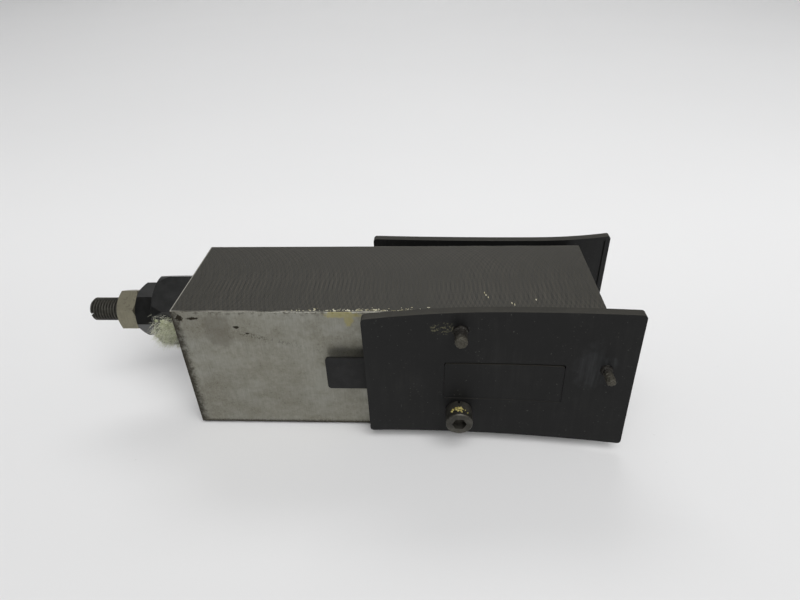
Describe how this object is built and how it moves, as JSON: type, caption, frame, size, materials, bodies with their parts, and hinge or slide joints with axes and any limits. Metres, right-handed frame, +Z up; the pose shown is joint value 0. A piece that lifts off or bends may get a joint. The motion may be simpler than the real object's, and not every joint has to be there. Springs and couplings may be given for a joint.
{
  "type": "pneumatic gripper",
  "caption": "Parallel pneumatic gripper: steel cylinder block with a stroke-adjusting screw, and a bowed black plastic jaw plate that slides out of each side.",
  "frame": {"origin": "middle of the block's base", "axes": "+X along the block, away from the adjusting screw; +Y to the rear jaw; +Z up from the base"},
  "size_m": [0.1829, 0.0678, 0.0521],
  "materials": {
    "block_steel": "ground and milled, grimy",
    "black_oxide": "blackened steel",
    "seal_rubber": "matte",
    "dark_screw": "blackened steel, worn",
    "bronze": "satin",
    "zinc_plate": "dull pale zinc",
    "bright_steel": "machined",
    "guide_plastic": "matte",
    "hard_chrome": "polished",
    "spring_steel": "drawn wire",
    "black_strip": "blackened spring steel",
    "plate_plastic": "moulded, rubbed",
    "pin_steel": "dirty"
  },
  "bodies": {
    "body": {"body_block": "block_steel", "end_cap": "black_oxide", "end_cap_seal": "seal_rubber", "gland_nut": "black_oxide", "gland_packing": "seal_rubber", "spring_seat": "bright_steel", "rod_bush": "bronze", "rod_seal": "seal_rubber", "nose_plug": "black_oxide", "vent_filter": "bronze", "return_spring": "spring_steel"},
    "piston": {"piston": "bright_steel", "piston_seal": "seal_rubber", "piston_guide_ring": "guide_plastic", "piston_rod": "hard_chrome", "piston_nut": "zinc_plate", "wedge": "bright_steel", "wedge_screw": "black_oxide"},
    "jaw_front": {"jaw_front": "black_oxide", "flag_front": "black_strip", "flag_rivets_front": "bright_steel", "plate_front": "plate_plastic", "insert_front": "plate_plastic", "plate_screw_front": "dark_screw", "lock_washer_front": "dark_screw", "pad_pin_front": "pin_steel", "end_pin_front": "pin_steel"},
    "jaw_rear": {"jaw_rear": "black_oxide", "flag_rear": "black_strip", "flag_rivets_rear": "bright_steel", "plate_rear": "plate_plastic", "insert_rear": "plate_plastic", "plate_screw_rear": "dark_screw", "lock_washer_rear": "dark_screw", "pad_pin_rear": "pin_steel", "end_pin_rear": "pin_steel"},
    "screw_slide": {"screw_seal": "seal_rubber"},
    "adjusting_screw": {"adjusting_screw": "dark_screw"},
    "nut_slide": {"thread_seal_washer": "bronze"},
    "lock_nut": {"lock_nut": "zinc_plate"}
  },
  "joints": [
    {"name": "piston_slide", "type": "slide", "parent": "body", "child": "piston", "axis": [1, 0, 0], "range_m": [0, 0.012], "stiffness_N_per_m": 900, "springref_m": -0.004, "deforming": ["return_spring"]},
    {"name": "jaw_front_slide", "type": "slide", "parent": "body", "child": "jaw_front", "axis": [0, -1, 0], "range_m": [0, 0.003]},
    {"name": "jaw_rear_slide", "type": "slide", "parent": "body", "child": "jaw_rear", "axis": [0, 1, 0], "range_m": [0, 0.003]},
    {"name": "stroke_adjust", "type": "slide", "parent": "body", "child": "screw_slide", "axis": [1, 0, 0], "range_m": [-0.002, 0.003]},
    {"name": "screw_turn", "type": "hinge", "parent": "screw_slide", "child": "adjusting_screw", "pos_m": [-0.09, 0, 0.0346], "axis": [1, 0, 0], "range_deg": [-721, 1081]},
    {"name": "nut_shift", "type": "slide", "parent": "body", "child": "nut_slide", "axis": [1, 0, 0], "range_m": [-0.001, 0]},
    {"name": "nut_turn", "type": "hinge", "parent": "nut_slide", "child": "lock_nut", "pos_m": [-0.0895, 0, 0.0346], "axis": [1, 0, 0], "range_deg": [-361, 0]}
  ],
  "couplings": [
    {"joint": "jaw_front_slide", "follows": "piston_slide", "ratio": 0.25},
    {"joint": "jaw_rear_slide", "follows": "piston_slide", "ratio": 0.25},
    {"joint": "screw_turn", "follows": "stroke_adjust", "rad_per_m": 6283.2},
    {"joint": "nut_turn", "follows": "nut_shift", "rad_per_m": 6283.2}
  ]
}
